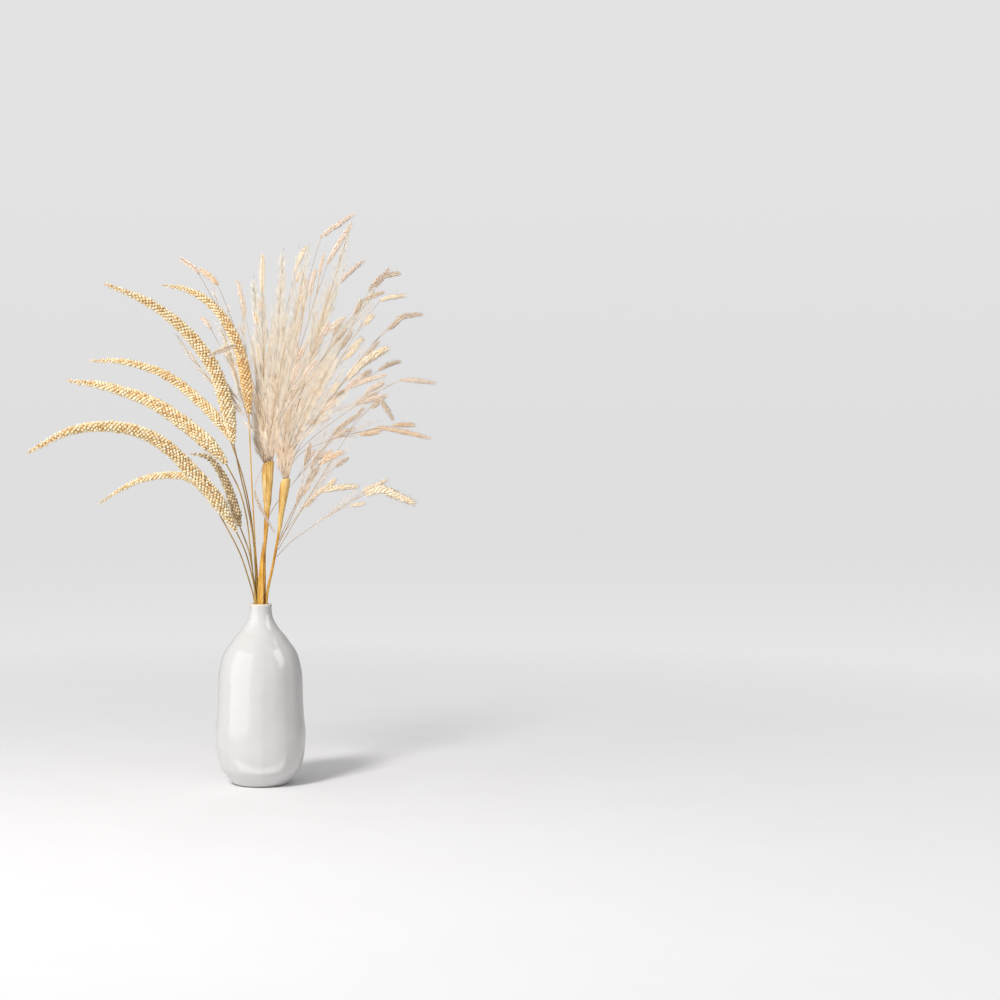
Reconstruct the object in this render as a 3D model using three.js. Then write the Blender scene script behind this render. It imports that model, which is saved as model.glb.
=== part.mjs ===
// A white bottle vase that holds an arrangement of dried pampas grass and long beaded ears.
// Millimetres, +Z up. The origin is the middle of the flat underside of the vase.

import * as THREE from 'three';

// ---------------------------------------------------------------------------------------------
// Driving dimensions
// ---------------------------------------------------------------------------------------------

const VASE_HEIGHT = 266;
const VASE_FLOOR = 8; // thickness of clay under the hollow
const VASE_SEGMENTS = 32;
const RIM_RADIUS = 16.5;
const BORE_RADIUS = 11.3; // clear radius of the neck
const STAND_GAP = 0.9; // between a stem's cut end and the vase's floor

const NECK_TOP = 264; // where the stems pass the rim, all gathered in the front of the bore
const NECK_BOTTOM = 240;
const SPREAD = 3; // how far the stems fan out inside the vase, as a multiple of their places in the neck
const SPREAD_CENTRE_Y = 5; // they fan out away from this line, which keeps the back of the vase free

const GAP = 0.35; // between pieces that meet
const EAR_CULM_RADIUS = 1.1;
const PAMPAS_CULM_RADIUS = 2.2;
const BRANCH_RADIUS = 0.55;
const PLUME_BRANCH_RADIUS = 0.8;

// ---------------------------------------------------------------------------------------------
// Materials
// ---------------------------------------------------------------------------------------------

function finish(color, roughness) {
  return new THREE.MeshStandardMaterial({ color, roughness, metalness: 0 });
}

const finishes = {
  glaze: () => finish(0xeceae8, 0.15),
  ear: () => finish(0xe6cf9f, 0.8),
  earBrown: () => finish(0xcfa069, 0.8),
  earGrey: () => finish(0xa79a80, 0.8),
  culm: () => finish(0xb08f45, 0.6),
  pampasCulm: () => finish(0xcd9d48, 0.55),
  sheath: () => finish(0xd8a955, 0.6),
  blade: () => finish(0xc9973c, 0.6),
  plume: () => finish(0xf3e6d0, 0.9),
  foxtail: () => finish(0xe4cdb6, 0.9),
};

// ---------------------------------------------------------------------------------------------
// Solids whose axis follows a curve
// ---------------------------------------------------------------------------------------------

const BACK = new THREE.Vector3(0, 1, 0);

/**
 * Closed body whose axis follows a curve. Each row is a cross-section { at, wide, thick }: at is the
 * fraction of the curve's length, wide and thick its half-sizes across. The rows start and end on the
 * axis, or close on themselves. A lathe gives the body its faces, with the row number as its height,
 * and each of its points then moves to its own place on the curve.
 */
function alongCurve(curve, rows, sides) {
  const rowNumbers = rows.map((row, number) => new THREE.Vector2(1, number));
  const geometry = new THREE.LatheGeometry(rowNumbers, sides);
  const position = geometry.getAttribute('position');
  const frames = rows.map((row) => {
    const tangent = curve.getTangentAt(row.at);
    const across = new THREE.Vector3().crossVectors(BACK, tangent).normalize();
    const forward = new THREE.Vector3().crossVectors(across, tangent);
    return { centre: curve.getPointAt(row.at), across, forward };
  });
  const point = new THREE.Vector3();
  for (let i = 0; i < position.count; i++) {
    const number = Math.round(position.getY(i));
    const row = rows[number];
    const { centre, across, forward } = frames[number];
    point.copy(centre);
    point.addScaledVector(across, position.getX(i) * row.wide);
    point.addScaledVector(forward, position.getZ(i) * row.thick);
    position.setXYZ(i, point.x, point.y, point.z);
  }
  geometry.computeVertexNormals();
  return geometry;
}

/** Rows of a solid body from one fraction of the curve to another; radiusAt takes 0 to 1. */
function solidRows(from, to, steps, radiusAt) {
  const rows = [{ at: from, wide: 0, thick: 0 }];
  for (let i = 0; i <= steps; i++) {
    const t = i / steps;
    const radius = radiusAt(t);
    rows.push({ at: from + (to - from) * t, wide: radius, thick: radius });
  }
  rows.push({ at: to, wide: 0, thick: 0 });
  return rows;
}

/** Fraction of a curve's length at which it passes its control point of that index. */
function fractionAt(curve, index) {
  const fine = 40;
  const spans = curve.points.length - 1;
  const lengths = curve.getLengths(spans * fine);
  return lengths[index * fine] / lengths[spans * fine];
}

const CURVE_DIVISIONS = 400; // in the table that a curve's lengths are read from

function curveThrough(points) {
  const vectors = points.map((p) => (p.isVector3 ? p : new THREE.Vector3(...p)));
  const curve = new THREE.CatmullRomCurve3(vectors, false, 'centripetal');
  curve.arcLengthDivisions = CURVE_DIVISIONS;
  return curve;
}

const smooth = (t) => THREE.MathUtils.smoothstep(t, 0, 1);

// ---------------------------------------------------------------------------------------------
// Assembly
// ---------------------------------------------------------------------------------------------

const arrangement = new THREE.Group();

function add(name, geometry, material) {
  const mesh = new THREE.Mesh(geometry, material);
  mesh.name = name;
  arrangement.add(mesh);
}

// ---------------------------------------------------------------------------------------------
// Vase
// ---------------------------------------------------------------------------------------------

/** Outer side from the edge of the flat foot to just under the rim, as [radius, height]. */
const vaseOutside = [
  [36, 0], [40.5, 2.5], [46.5, 8], [53.7, 17], [58.5, 25], [62.1, 38], [64, 50], [65, 62],
  [65, 80], [63.5, 93], [62.2, 108], [61.2, 124], [60.8, 142], [60.4, 158], [59, 170], [57, 180],
  [54.2, 190], [49.2, 200], [42.6, 209], [35.6, 219], [28.6, 227], [22.6, 236], [19, 243],
  [17, 250], [16.2, 257],
];

/** Inner side from the bottom of the bore down to the edge of the floor. */
const vaseInside = [
  [BORE_RADIUS, 246], [14.2, 240], [21, 231], [28.2, 223], [36.2, 213], [45.9, 201], [51.4, 190],
  [55.6, 176], [57.8, 160], [58.2, 140], [59.2, 110], [62.2, 85], [62.2, 62], [59.4, 38], [54, 22],
  [46, 12], [38, VASE_FLOOR],
];

const LIP_STEPS = 5; // round the half circle of the rim

function vaseProfile() {
  const rimMiddle = (RIM_RADIUS + BORE_RADIUS) / 2;
  const rimHalf = (RIM_RADIUS - BORE_RADIUS) / 2;
  const profile = [new THREE.Vector2(0, 0)];
  for (const [radius, height] of vaseOutside) profile.push(new THREE.Vector2(radius, height));
  for (let i = 0; i <= LIP_STEPS; i++) {
    const angle = (Math.PI * i) / LIP_STEPS;
    const radius = rimMiddle + rimHalf * Math.cos(angle);
    const height = VASE_HEIGHT - rimHalf + rimHalf * Math.sin(angle);
    profile.push(new THREE.Vector2(radius, height));
  }
  for (const [radius, height] of vaseInside) profile.push(new THREE.Vector2(radius, height));
  profile.push(new THREE.Vector2(0, VASE_FLOOR));
  return profile;
}

const vase = new THREE.LatheGeometry(vaseProfile(), VASE_SEGMENTS);
vase.rotateX(Math.PI / 2);
add('vase', vase, finishes.glaze());

// ---------------------------------------------------------------------------------------------
// Ways down through the neck
// ---------------------------------------------------------------------------------------------

/** Points of a stem from the vase's floor up to the rim, at its place [x, y] in the neck. */
function wayThroughNeck([x, y]) {
  const footX = x * SPREAD;
  const footY = SPREAD_CENTRE_Y + (y - SPREAD_CENTRE_Y) * SPREAD;
  return [
    [footX, footY, VASE_FLOOR + STAND_GAP],
    [x, y, NECK_BOTTOM],
    [x, y, NECK_TOP],
  ];
}

// ---------------------------------------------------------------------------------------------
// Beaded ears on long culms
// ---------------------------------------------------------------------------------------------

/** neck is the culm's place in the neck; culm leads up to the ear's base; ear runs to its tip. */
const ears = [
  {
    name: 'low_thin', neck: [-8.2, 0.2], radius: 5.5, look: 'ear',
    culm: [[-27, -3, 333], [-42, -2, 366], [-58, 2, 393]],
    ear: [[-65, 6, 407], [-83, 14, 434], [-108, 30, 451], [-148, 46, 453], [-191, 62, 440], [-241, 76, 409]],
  },
  {
    name: 'low_long', neck: [-5.3, -6.3], radius: 10, look: 'ear',
    culm: [[-20, -14, 338]],
    ear: [
      [-35, -23, 374], [-65, -36, 424], [-99, -48, 463], [-127, -58, 493], [-161, -68, 515],
      [-209, -80, 527], [-266, -92, 521], [-326, -104, 490],
    ],
  },
  {
    name: 'short_grey', neck: [-5.4, -0.8], radius: 6.5, look: 'earGrey',
    culm: [[-17, -1, 344]],
    ear: [[-29, -3, 378], [-41, -9, 421], [-55, -17, 456], [-75, -27, 482], [-101, -40, 487]],
  },
  {
    name: 'middle_low', neck: [-7.6, -3.4], radius: 10, look: 'ear',
    culm: [[-15, -11, 352], [-25, -13, 418]],
    ear: [
      [-49, -12, 472], [-78, -8, 504], [-112, 0, 532], [-147, 8, 556], [-188, 16, 574],
      [-234, 26, 587], [-281, 36, 593],
    ],
  },
  {
    name: 'high_long', neck: [-3.9, -3.6], radius: 9.5, look: 'ear',
    culm: [[-13, -7, 382], [-26, -9, 443]],
    ear: [
      [-38, -13, 502], [-46, -18, 549], [-65, -27, 608], [-100, -38, 658], [-152, -50, 701],
      [-220, -62, 731],
    ],
  },
  {
    name: 'middle_high', neck: [-5.9, 2.4], radius: 7.5, look: 'ear',
    culm: [[-12, 8, 382], [-24, 18, 446]],
    ear: [
      [-43, 29, 505], [-64, 40, 538], [-91, 52, 565], [-126, 66, 594], [-162, 78, 612],
      [-209, 90, 623], [-254, 102, 623],
    ],
  },
  {
    name: 'top_brown', neck: [-2.3, -0.4], radius: 8, look: 'earBrown',
    culm: [[-9, -3, 382], [-13, 4, 467]],
    ear: [
      [-16, 11, 543], [-21, 18, 600], [-29, 24, 636], [-44, 30, 671], [-67, 36, 703],
      [-102, 42, 726], [-143, 48, 735],
    ],
  },
];

const EAR_SIDES = 7;
const EAR_STEPS = 15;
const EAR_CULM_SIDES = 6;
const EAR_CULM_STEPS = 11;

const EAR_BASE = 0.35; // an ear's thickness at its base, as a share of its full thickness
const EAR_SWELL_ENDS = 0.14; // where along its length it is full
const EAR_TAPER = 0.72; // how much of its thickness is gone at the tip
const EAR_TAPER_POWER = 2.2;

/** An ear swells quickly from its base and tapers slowly to a blunt tip. */
function earShape(t) {
  const swell = EAR_BASE + (1 - EAR_BASE) * smooth(Math.min(t / EAR_SWELL_ENDS, 1));
  const taper = 1 - EAR_TAPER * t ** EAR_TAPER_POWER;
  return swell * taper;
}

for (const { name, neck, culm, ear, radius, look } of ears) {
  const points = [...wayThroughNeck(neck), ...culm, ...ear];
  const curve = curveThrough(points);
  const earFrom = fractionAt(curve, points.length - ear.length);
  const culmTo = earFrom - GAP / curve.getLength();
  const culmRows = solidRows(0, culmTo, EAR_CULM_STEPS, () => EAR_CULM_RADIUS);
  add(`wheat_culm_${name}`, alongCurve(curve, culmRows, EAR_CULM_SIDES), finishes.culm());
  const earRows = solidRows(earFrom, 1, EAR_STEPS, (t) => radius * earShape(t));
  add(`wheat_ear_${name}`, alongCurve(curve, earRows, EAR_SIDES), finishes[look]());
}

// ---------------------------------------------------------------------------------------------
// Pampas culms and the leaf sheaths round their tops
// ---------------------------------------------------------------------------------------------

/** sheathLength is what the sheath covers; mouth its inner radius where the branches come out. */
const pampas = {
  middle: {
    neck: [1.2, -3.0], sheathLength: 72, mouth: 5.2,
    culm: [[4, -5, 320], [12, -8, 402], [15, -10, 476]],
  },
  right: {
    neck: [7.2, -1.4], sheathLength: 84, mouth: 6.6,
    culm: [[18, -1, 320], [27, -1, 370], [38, 0, 450]],
  },
  back: {
    neck: [6.2, 3.6], sheathLength: 76, mouth: 6.2,
    culm: [[6, 10, 330], [8, 22, 400], [10, 34, 472]],
  },
};

const CULM_SIDES = 8;
const CULM_STEPS = 11;
const SHEATH_SIDES = 12;
const SHEATH_STEPS = 6;
const SHEATH_WALL = 0.8;
const SHEATH_CLEARANCE = 0.7; // round the culm
const SHEATH_HUG = 0.35; // share of its length on which the sheath hugs the culm
const MOUTH_DEPTH = 14; // from the culm's top end up to the sheath's edge

/** A sheath hugs its culm and opens into a funnel: its inner radius at 0 to 1 of its length. */
function sheathBore(t, mouth) {
  const hug = PAMPAS_CULM_RADIUS + SHEATH_CLEARANCE;
  const opened = Math.max(0, (t - SHEATH_HUG) / (1 - SHEATH_HUG));
  return hug + (mouth - hug) * smooth(opened);
}

/** Rows of an open sleeve: up the outside, then down the inside, back to the first row. */
function sleeveRows(from, to, steps, boreAt, wall) {
  const outside = [];
  const inside = [];
  for (let i = 0; i <= steps; i++) {
    const t = i / steps;
    const at = from + (to - from) * t;
    const bore = boreAt(t);
    outside.push({ at, wide: bore + wall, thick: bore + wall });
    inside.unshift({ at, wide: bore, thick: bore });
  }
  return [...outside, ...inside, outside[0]];
}

for (const [name, stem] of Object.entries(pampas)) {
  const curve = curveThrough([...wayThroughNeck(stem.neck), ...stem.culm]);
  const length = curve.getLength();
  const culmTo = 1 - MOUTH_DEPTH / length;
  const culmRows = solidRows(0, culmTo, CULM_STEPS, () => PAMPAS_CULM_RADIUS);
  add(`pampas_culm_${name}`, alongCurve(curve, culmRows, CULM_SIDES), finishes.pampasCulm());
  const boreAt = (t) => sheathBore(t, stem.mouth);
  const sheathRows = sleeveRows(1 - stem.sheathLength / length, 1, SHEATH_STEPS, boreAt, SHEATH_WALL);
  add(`pampas_sheath_${name}`, alongCurve(curve, sheathRows, SHEATH_SIDES), finishes.sheath());
  stem.curve = curve;
  stem.axis = curve.getTangentAt(1);
  stem.end = curve.getPointAt(1);
}

// ---------------------------------------------------------------------------------------------
// Plumes and foxtail heads, on branches that fan out of the sheaths
// ---------------------------------------------------------------------------------------------

/** from is the culm, base and tip the two ends of the head, bow how far its middle bows up. */
const branches = [
  { name: 'plume_1', from: 'middle', base: [-8, -14, 520], tip: [-66, -30, 728], radius: 10, bow: -10 },
  { name: 'plume_2', from: 'back', base: [6, 36, 530], tip: [-8, 52, 750], radius: 10, bow: 0 },
  { name: 'plume_3', from: 'middle', base: [18, -26, 530], tip: [35, -72, 782], radius: 9, bow: 0 },
  { name: 'plume_4', from: 'middle', base: [23, 2, 530], tip: [74, 12, 797], radius: 10, bow: 0 },
  { name: 'plume_5', from: 'right', base: [48, 2, 530], tip: [136, 8, 826], radius: 10, bow: 4 },
  { name: 'plume_6', from: 'back', base: [42, 44, 540], tip: [172, 76, 730], radius: 10, bow: 6 },
  { name: 'plume_7', from: 'right', base: [52, -34, 510], tip: [108, -86, 625], radius: 9, bow: 4 },
  { name: 'plume_8', from: 'back', base: [12, 62, 540], tip: [30, 118, 680], radius: 9, bow: 4 },
];

const PLUME_SIDES = 6;
const PLUME_STEPS = 9;
const PLUME_RADIUS = 10;

const foxtails = [
  { name: 'top_right', from: 'right', base: [90, 22, 800], tip: [144, 30, 842] },
  { name: 'top_front', from: 'middle', base: [97, -50, 757], tip: [135, -62, 822] },
  { name: 'top_back', from: 'back', base: [52, 80, 752], tip: [72, 96, 800] },
  { name: 'top_middle', from: 'middle', base: [4, -80, 715], tip: [6, -98, 775] },
  { name: 'top_left', from: 'back', base: [-20, 76, 690], tip: [-34, 92, 748] },
  { name: 'upper_right', from: 'back', base: [116, 100, 735], tip: [162, 126, 780] },
  { name: 'far_right_high', from: 'right', base: [179, -14, 742], tip: [210, -18, 750] },
  { name: 'right_front_high', from: 'middle', base: [150, -66, 706], tip: [182, -82, 720] },
  { name: 'right_back_high', from: 'right', base: [176, 34, 709], tip: [222, 44, 721] },
  { name: 'far_right_upper', from: 'right', base: [197, -24, 681], tip: [242, -30, 690] },
  { name: 'back_high', from: 'back', base: [92, 130, 690], tip: [116, 146, 708] },
  { name: 'front_high', from: 'middle', base: [92, -92, 655], tip: [124, -112, 684] },
  { name: 'back_upper', from: 'back', base: [70, 118, 610], tip: [92, 146, 645] },
  { name: 'cream_right', from: 'right', base: [142, 10, 611], tip: [192, 18, 643], radius: 7 },
  { name: 'right_back_upper', from: 'back', base: [176, 76, 608], tip: [216, 92, 624] },
  { name: 'right_front_upper', from: 'right', base: [120, -56, 577], tip: [184, -76, 602] },
  { name: 'far_right', from: 'right', base: [203, 4, 592], tip: [262, 8, 589] },
  { name: 'front_middle', from: 'middle', base: [60, -96, 590], tip: [82, -128, 622] },
  { name: 'nodding', from: 'right', drop: 106, base: [172, -34, 566], tip: [196, -38, 532] },
  { name: 'right_back', from: 'back', base: [146, 56, 562], tip: [178, 68, 574] },
  { name: 'front_right', from: 'right', drop: 90, base: [104, -62, 512], tip: [142, -86, 545] },
  { name: 'far_right_low', from: 'right', base: [170, 26, 522], tip: [256, 34, 507] },
  { name: 'back_low', from: 'back', drop: 84, base: [108, 84, 505], tip: [146, 108, 522] },
  { name: 'orange_right', from: 'right', drop: 98, base: [84, -28, 468], tip: [122, -42, 490], radius: 5 },
  { name: 'cream_low', from: 'right', drop: 92, base: [88, 14, 428], tip: [146, 14, 437], radius: 5 },
  { name: 'low_right', from: 'right', drop: 116, base: [170, -14, 432], tip: [228, -20, 412], radius: 7 },
  { name: 'left_high', from: 'middle', base: [-84, -68, 742], tip: [-115, -82, 768] },
  { name: 'left_brown', from: 'back', base: [-60, 60, 733], tip: [-92, 66, 762], radius: 5 },
  { name: 'left_front', from: 'middle', base: [-32, -70, 640], tip: [-74, -92, 626] },
  { name: 'left_back', from: 'back', base: [-70, 66, 668], tip: [-90, 76, 690] },
];

const FOXTAIL_SIDES = 5;
const FOXTAIL_STEPS = 6;
const FOXTAIL_RADIUS = 4;
const FOXTAIL_BOW = 3;
const BRANCH_STEPS = 6;
const SEAT_PITCH = 2.5; // least distance between two branches in a sheath's mouth
const SEAT_MARGIN = 4 * GAP; // between a branch and the sheath round it
const SEAT_ROUNDS = 200; // of moving crowded branches apart
const FOOT_PINCH = 0.85; // the branches stand closer together at their feet than in the mouth
const FAN_SPREAD = 2.5; // and this much further apart at FAN_RISE above it
const FAN_RISE = 32;
const SIDE_RISE = 10; // a branch off the culm's side runs this far along it while it bends away
const HEAD_ENDS = 0.12; // a head's thickness at its two ends, as a share of its full thickness
const HEAD_FULLEST = 0.75; // below 1 moves the thickest place towards the base
const HEAD_BLUNTNESS = 0.8;

/** A head swells to a full middle and closes to a soft point. */
function headShape(t) {
  const swell = Math.sin(Math.PI * t ** HEAD_FULLEST) ** HEAD_BLUNTNESS;
  return HEAD_ENDS + (1 - HEAD_ENDS) * swell;
}

/** Start points of a culm's branches in its sheath's mouth, each on the side that it leans to. */
function seatsFor(stem, leaving) {
  const reach = stem.mouth * Math.cos(Math.PI / SHEATH_SIDES) - PLUME_BRANCH_RADIUS - SEAT_MARGIN;
  const across = new THREE.Vector3().crossVectors(BACK, stem.axis).normalize();
  const forward = new THREE.Vector3().crossVectors(across, stem.axis);
  const seats = leaving.map((branch) => {
    const lean = new THREE.Vector3(...branch.base).sub(stem.end).normalize();
    return new THREE.Vector2(lean.dot(across), lean.dot(forward)).multiplyScalar(reach);
  });
  const apart = new THREE.Vector2();
  for (let round = 0; round < SEAT_ROUNDS; round++) {
    for (const a of seats) {
      for (const b of seats) {
        if (a === b) continue;
        apart.subVectors(a, b);
        const short = SEAT_PITCH - apart.length();
        if (short > 0) a.addScaledVector(apart.normalize(), short / 2);
      }
      if (a.length() > reach) a.setLength(reach);
    }
  }
  return seats.map((seat) => across.clone().multiplyScalar(seat.x).addScaledVector(forward, seat.y));
}

/** First points of a branch that rises inside the sheath and leaves it at its mouth. */
function wayOutOfMouth(stem, seat) {
  const foot = stem.end.clone().addScaledVector(seat, FOOT_PINCH);
  foot.addScaledVector(stem.axis, GAP - MOUTH_DEPTH);
  const rim = stem.end.clone().add(seat);
  const out = stem.end.clone().addScaledVector(seat, FAN_SPREAD);
  out.addScaledVector(stem.axis, FAN_RISE);
  return [foot, rim, out];
}

/** First points of a branch that leaves the side of the culm, a given drop below the mouth. */
function wayOffCulm(stem, { base, drop }) {
  const at = 1 - drop / stem.curve.getLength();
  const middle = stem.curve.getPointAt(at);
  const axis = stem.curve.getTangentAt(at);
  const aside = new THREE.Vector3(...base).sub(middle).projectOnPlane(axis).normalize();
  const foot = middle.clone().addScaledVector(aside, PAMPAS_CULM_RADIUS + BRANCH_RADIUS + GAP);
  const bend = foot.clone().addScaledVector(axis, SIDE_RISE / 2);
  bend.addScaledVector(aside, SIDE_RISE / 10);
  const out = foot.clone().addScaledVector(axis, SIDE_RISE);
  out.addScaledVector(aside, SIDE_RISE / 3);
  return [foot, bend, out];
}

/** Curve of a branch: its first points, the base of its head, the bowed middle and the tip. */
function branchCurve(first, { base, tip }, bow) {
  const middle = new THREE.Vector3(...base).add(new THREE.Vector3(...tip)).multiplyScalar(0.5);
  middle.z += bow;
  return curveThrough([...first, base, middle, tip]);
}

const HEAD_BASE_INDEX = 3; // of the branch curve's control points

function addBranches(list, prefix, style) {
  for (const branch of list) {
    const { radius = style.radius, bow = style.bow } = branch;
    const stem = pampas[branch.from];
    const first = branch.drop ? wayOffCulm(stem, branch) : wayOutOfMouth(stem, branch.seat);
    const curve = branchCurve(first, branch, bow);
    const headFrom = fractionAt(curve, HEAD_BASE_INDEX);
    const stalk = solidRows(0, headFrom, BRANCH_STEPS, () => style.stalk).slice(0, -2);
    const head = solidRows(headFrom, 1, style.steps, (t) => Math.max(style.stalk, radius * headShape(t)));
    const rows = [...stalk, ...head.slice(1)];
    add(prefix + branch.name, alongCurve(curve, rows, style.sides), style.material());
  }
}

for (const [name, stem] of Object.entries(pampas)) {
  const leaving = [...branches, ...foxtails].filter((branch) => branch.from === name && !branch.drop);
  seatsFor(stem, leaving).forEach((seat, i) => {
    leaving[i].seat = seat;
  });
}

addBranches(branches, 'pampas_', {
  radius: PLUME_RADIUS, bow: 0, stalk: PLUME_BRANCH_RADIUS, steps: PLUME_STEPS, sides: PLUME_SIDES,
  material: finishes.plume,
});
addBranches(foxtails, 'foxtail_', {
  radius: FOXTAIL_RADIUS, bow: FOXTAIL_BOW, stalk: BRANCH_RADIUS, steps: FOXTAIL_STEPS, sides: FOXTAIL_SIDES,
  material: finishes.foxtail,
});

// ---------------------------------------------------------------------------------------------
// Leaf blade
// ---------------------------------------------------------------------------------------------

const BLADE_NECK = [-0.5, -8.6];
const BLADE_HALF_WIDTH = 4.8;
const BLADE_HALF_THICKNESS = 0.4;
const BLADE_STEPS = 14;
const BLADE_SIDES = 8;
const BLADE_TAPER = 0.94; // how much of its width is gone at the tip
const BLADE_TAPER_POWER = 9;
const BLADE_BEND = [0.3, -9.6, 300]; // where it leans forward, above the rim
const BLADE_TIP = [4, -14, 357];

function bladeRows() {
  const rows = [{ at: 0, wide: 0, thick: 0 }];
  for (let i = 0; i <= BLADE_STEPS; i++) {
    const at = i / BLADE_STEPS;
    const taper = 1 - BLADE_TAPER * at ** BLADE_TAPER_POWER;
    rows.push({ at, wide: BLADE_HALF_WIDTH * taper, thick: BLADE_HALF_THICKNESS });
  }
  rows.push({ at: 1, wide: 0, thick: 0 });
  return rows;
}

const bladeCurve = curveThrough([...wayThroughNeck(BLADE_NECK), BLADE_BEND, BLADE_TIP]);
add('leaf_blade', alongCurve(bladeCurve, bladeRows(), BLADE_SIDES), finishes.blade());

export default arrangement;
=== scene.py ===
import math

import bpy
import numpy as np
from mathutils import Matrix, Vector


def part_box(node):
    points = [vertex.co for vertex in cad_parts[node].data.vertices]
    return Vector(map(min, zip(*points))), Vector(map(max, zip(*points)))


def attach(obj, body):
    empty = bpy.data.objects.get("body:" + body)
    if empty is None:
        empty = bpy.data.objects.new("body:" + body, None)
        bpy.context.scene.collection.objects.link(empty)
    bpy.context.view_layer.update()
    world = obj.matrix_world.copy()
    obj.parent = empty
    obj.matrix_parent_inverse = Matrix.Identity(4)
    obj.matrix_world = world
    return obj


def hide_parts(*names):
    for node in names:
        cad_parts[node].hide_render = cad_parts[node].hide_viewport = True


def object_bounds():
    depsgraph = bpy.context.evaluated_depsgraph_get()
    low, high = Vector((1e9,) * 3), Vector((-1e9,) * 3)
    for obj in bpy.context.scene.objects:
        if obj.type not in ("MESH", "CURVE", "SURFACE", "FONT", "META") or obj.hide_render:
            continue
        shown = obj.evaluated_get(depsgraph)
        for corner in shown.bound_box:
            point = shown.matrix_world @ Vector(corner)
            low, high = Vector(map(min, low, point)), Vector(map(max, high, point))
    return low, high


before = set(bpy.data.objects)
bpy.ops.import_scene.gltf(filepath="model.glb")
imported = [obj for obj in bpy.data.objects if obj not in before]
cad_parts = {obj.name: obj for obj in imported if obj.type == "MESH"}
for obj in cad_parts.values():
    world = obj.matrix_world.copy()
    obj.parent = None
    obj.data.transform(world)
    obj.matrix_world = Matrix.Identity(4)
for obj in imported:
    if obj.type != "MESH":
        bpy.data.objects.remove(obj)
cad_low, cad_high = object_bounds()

MM = 0.001
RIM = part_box("vase")[1].z
NECK = np.array([0.0, 0.0, RIM])
GOLDEN_ANGLE = math.pi * (3 - math.sqrt(5))
rng = np.random.default_rng(7)


# ------------------------------------------------------------------------------------------
# Mesh making
# ------------------------------------------------------------------------------------------


class Soup:
    """Collects closed bits of triangle mesh, each with a material number, into one piece."""

    def __init__(self):
        self.points, self.triangles, self.marks = [], [], []
        self.count = 0

    def add(self, points, triangles, mark=0):
        points = np.asarray(points, float).reshape(-1, 3)
        triangles = np.asarray(triangles, int).reshape(-1, 3)
        self.points.append(points)
        self.triangles.append(triangles + self.count)
        self.marks.append(np.full(len(triangles), mark))
        self.count += len(points)

    def piece(self, name, materials):
        points = np.concatenate(self.points)
        triangles = np.concatenate(self.triangles)
        mesh = bpy.data.meshes.new(name)
        mesh.vertices.add(len(points))
        mesh.vertices.foreach_set("co", points.ravel())
        mesh.loops.add(triangles.size)
        mesh.loops.foreach_set("vertex_index", triangles.ravel())
        mesh.polygons.add(len(triangles))
        mesh.polygons.foreach_set("loop_start", np.arange(len(triangles)) * 3)
        for m in materials:
            mesh.materials.append(m)
        mesh.polygons.foreach_set("material_index", np.concatenate(self.marks))
        mesh.polygons.foreach_set("use_smooth", np.full(len(triangles), True))
        mesh.update(calc_edges=True)
        mesh.validate()
        obj = bpy.data.objects.new(name, mesh)
        bpy.context.scene.collection.objects.link(obj)
        return obj


def stamp(soup, template, origins, axes, mark=0):
    """A copy of the template at each origin; the rows of axes[i] are where its x, y and z go."""
    points, triangles = template
    if len(origins) == 0:
        return
    placed = origins[:, None, :] + np.einsum("pk,nkj->npj", points, axes)
    shift = (np.arange(len(origins)) * len(points))[:, None, None]
    soup.add(placed.reshape(-1, 3), (triangles[None] + shift).reshape(-1, 3), mark)


def bead_template():
    """A round grain with a small point at its outer end: an octahedron divided once."""
    corners = [(1, 0, 0), (-1, 0, 0), (0, 1, 0), (0, -1, 0), (0, 0, 1), (0, 0, -1)]
    faces = [(0, 2, 4), (2, 1, 4), (1, 3, 4), (3, 0, 4), (2, 0, 5), (1, 2, 5), (3, 1, 5), (0, 3, 5)]
    points, middles, triangles = [np.array(c, float) for c in corners], {}, []

    def middle(a, b):
        key = (min(a, b), max(a, b))
        if key not in middles:
            m = points[a] + points[b]
            middles[key] = len(points)
            points.append(m / np.linalg.norm(m))
        return middles[key]

    for a, b, c in faces:
        ab, bc, ca = middle(a, b), middle(b, c), middle(c, a)
        triangles += [(a, ab, ca), (ab, b, bc), (ca, bc, c), (ab, bc, ca)]
    shape = np.array(points)
    shape[:, 2] += 0.35 * np.clip(shape[:, 2], 0, 1) ** 4
    return shape, np.array(triangles)


def seed_template(sides=4):
    """A slim pointed seed along z, from its foot at 0 to its point at 1."""
    points = [(0, 0, 0)]
    for height, radius in ((0.22, 0.36), (0.62, 0.5)):
        for k in range(sides):
            angle = 2 * math.pi * k / sides
            points.append((radius * math.cos(angle), radius * math.sin(angle), height))
    points.append((0, 0, 1))
    triangles, top = [], len(points) - 1
    for k in range(sides):
        n = (k + 1) % sides
        a, b, c, d = 1 + k, 1 + n, 1 + sides + k, 1 + sides + n
        triangles += [(0, b, a), (a, b, d), (a, d, c), (c, d, top)]
    return np.array(points, float), np.array(triangles)


BEAD = bead_template()
SEED = seed_template()
# a three-sided spike along z, for the straight hairs and bristles
SPIKE = (
    np.array([(1, 0, 0), (-0.5, 0.87, 0), (-0.5, -0.87, 0), (0, 0, 1)], float),
    np.array([(0, 1, 3), (1, 2, 3), (2, 0, 3), (0, 2, 1)]),
)


def unit(v):
    return v / np.maximum(np.linalg.norm(v, axis=-1, keepdims=True), 1e-12)


def square_to(direction):
    """Two unit vectors square to each direction and to each other."""
    helper = np.where(np.abs(direction[:, 2:3]) < 0.9, [[0.0, 0.0, 1.0]], [[1.0, 0.0, 0.0]])
    side = unit(np.cross(helper, direction))
    return side, np.cross(direction, side)


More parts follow.
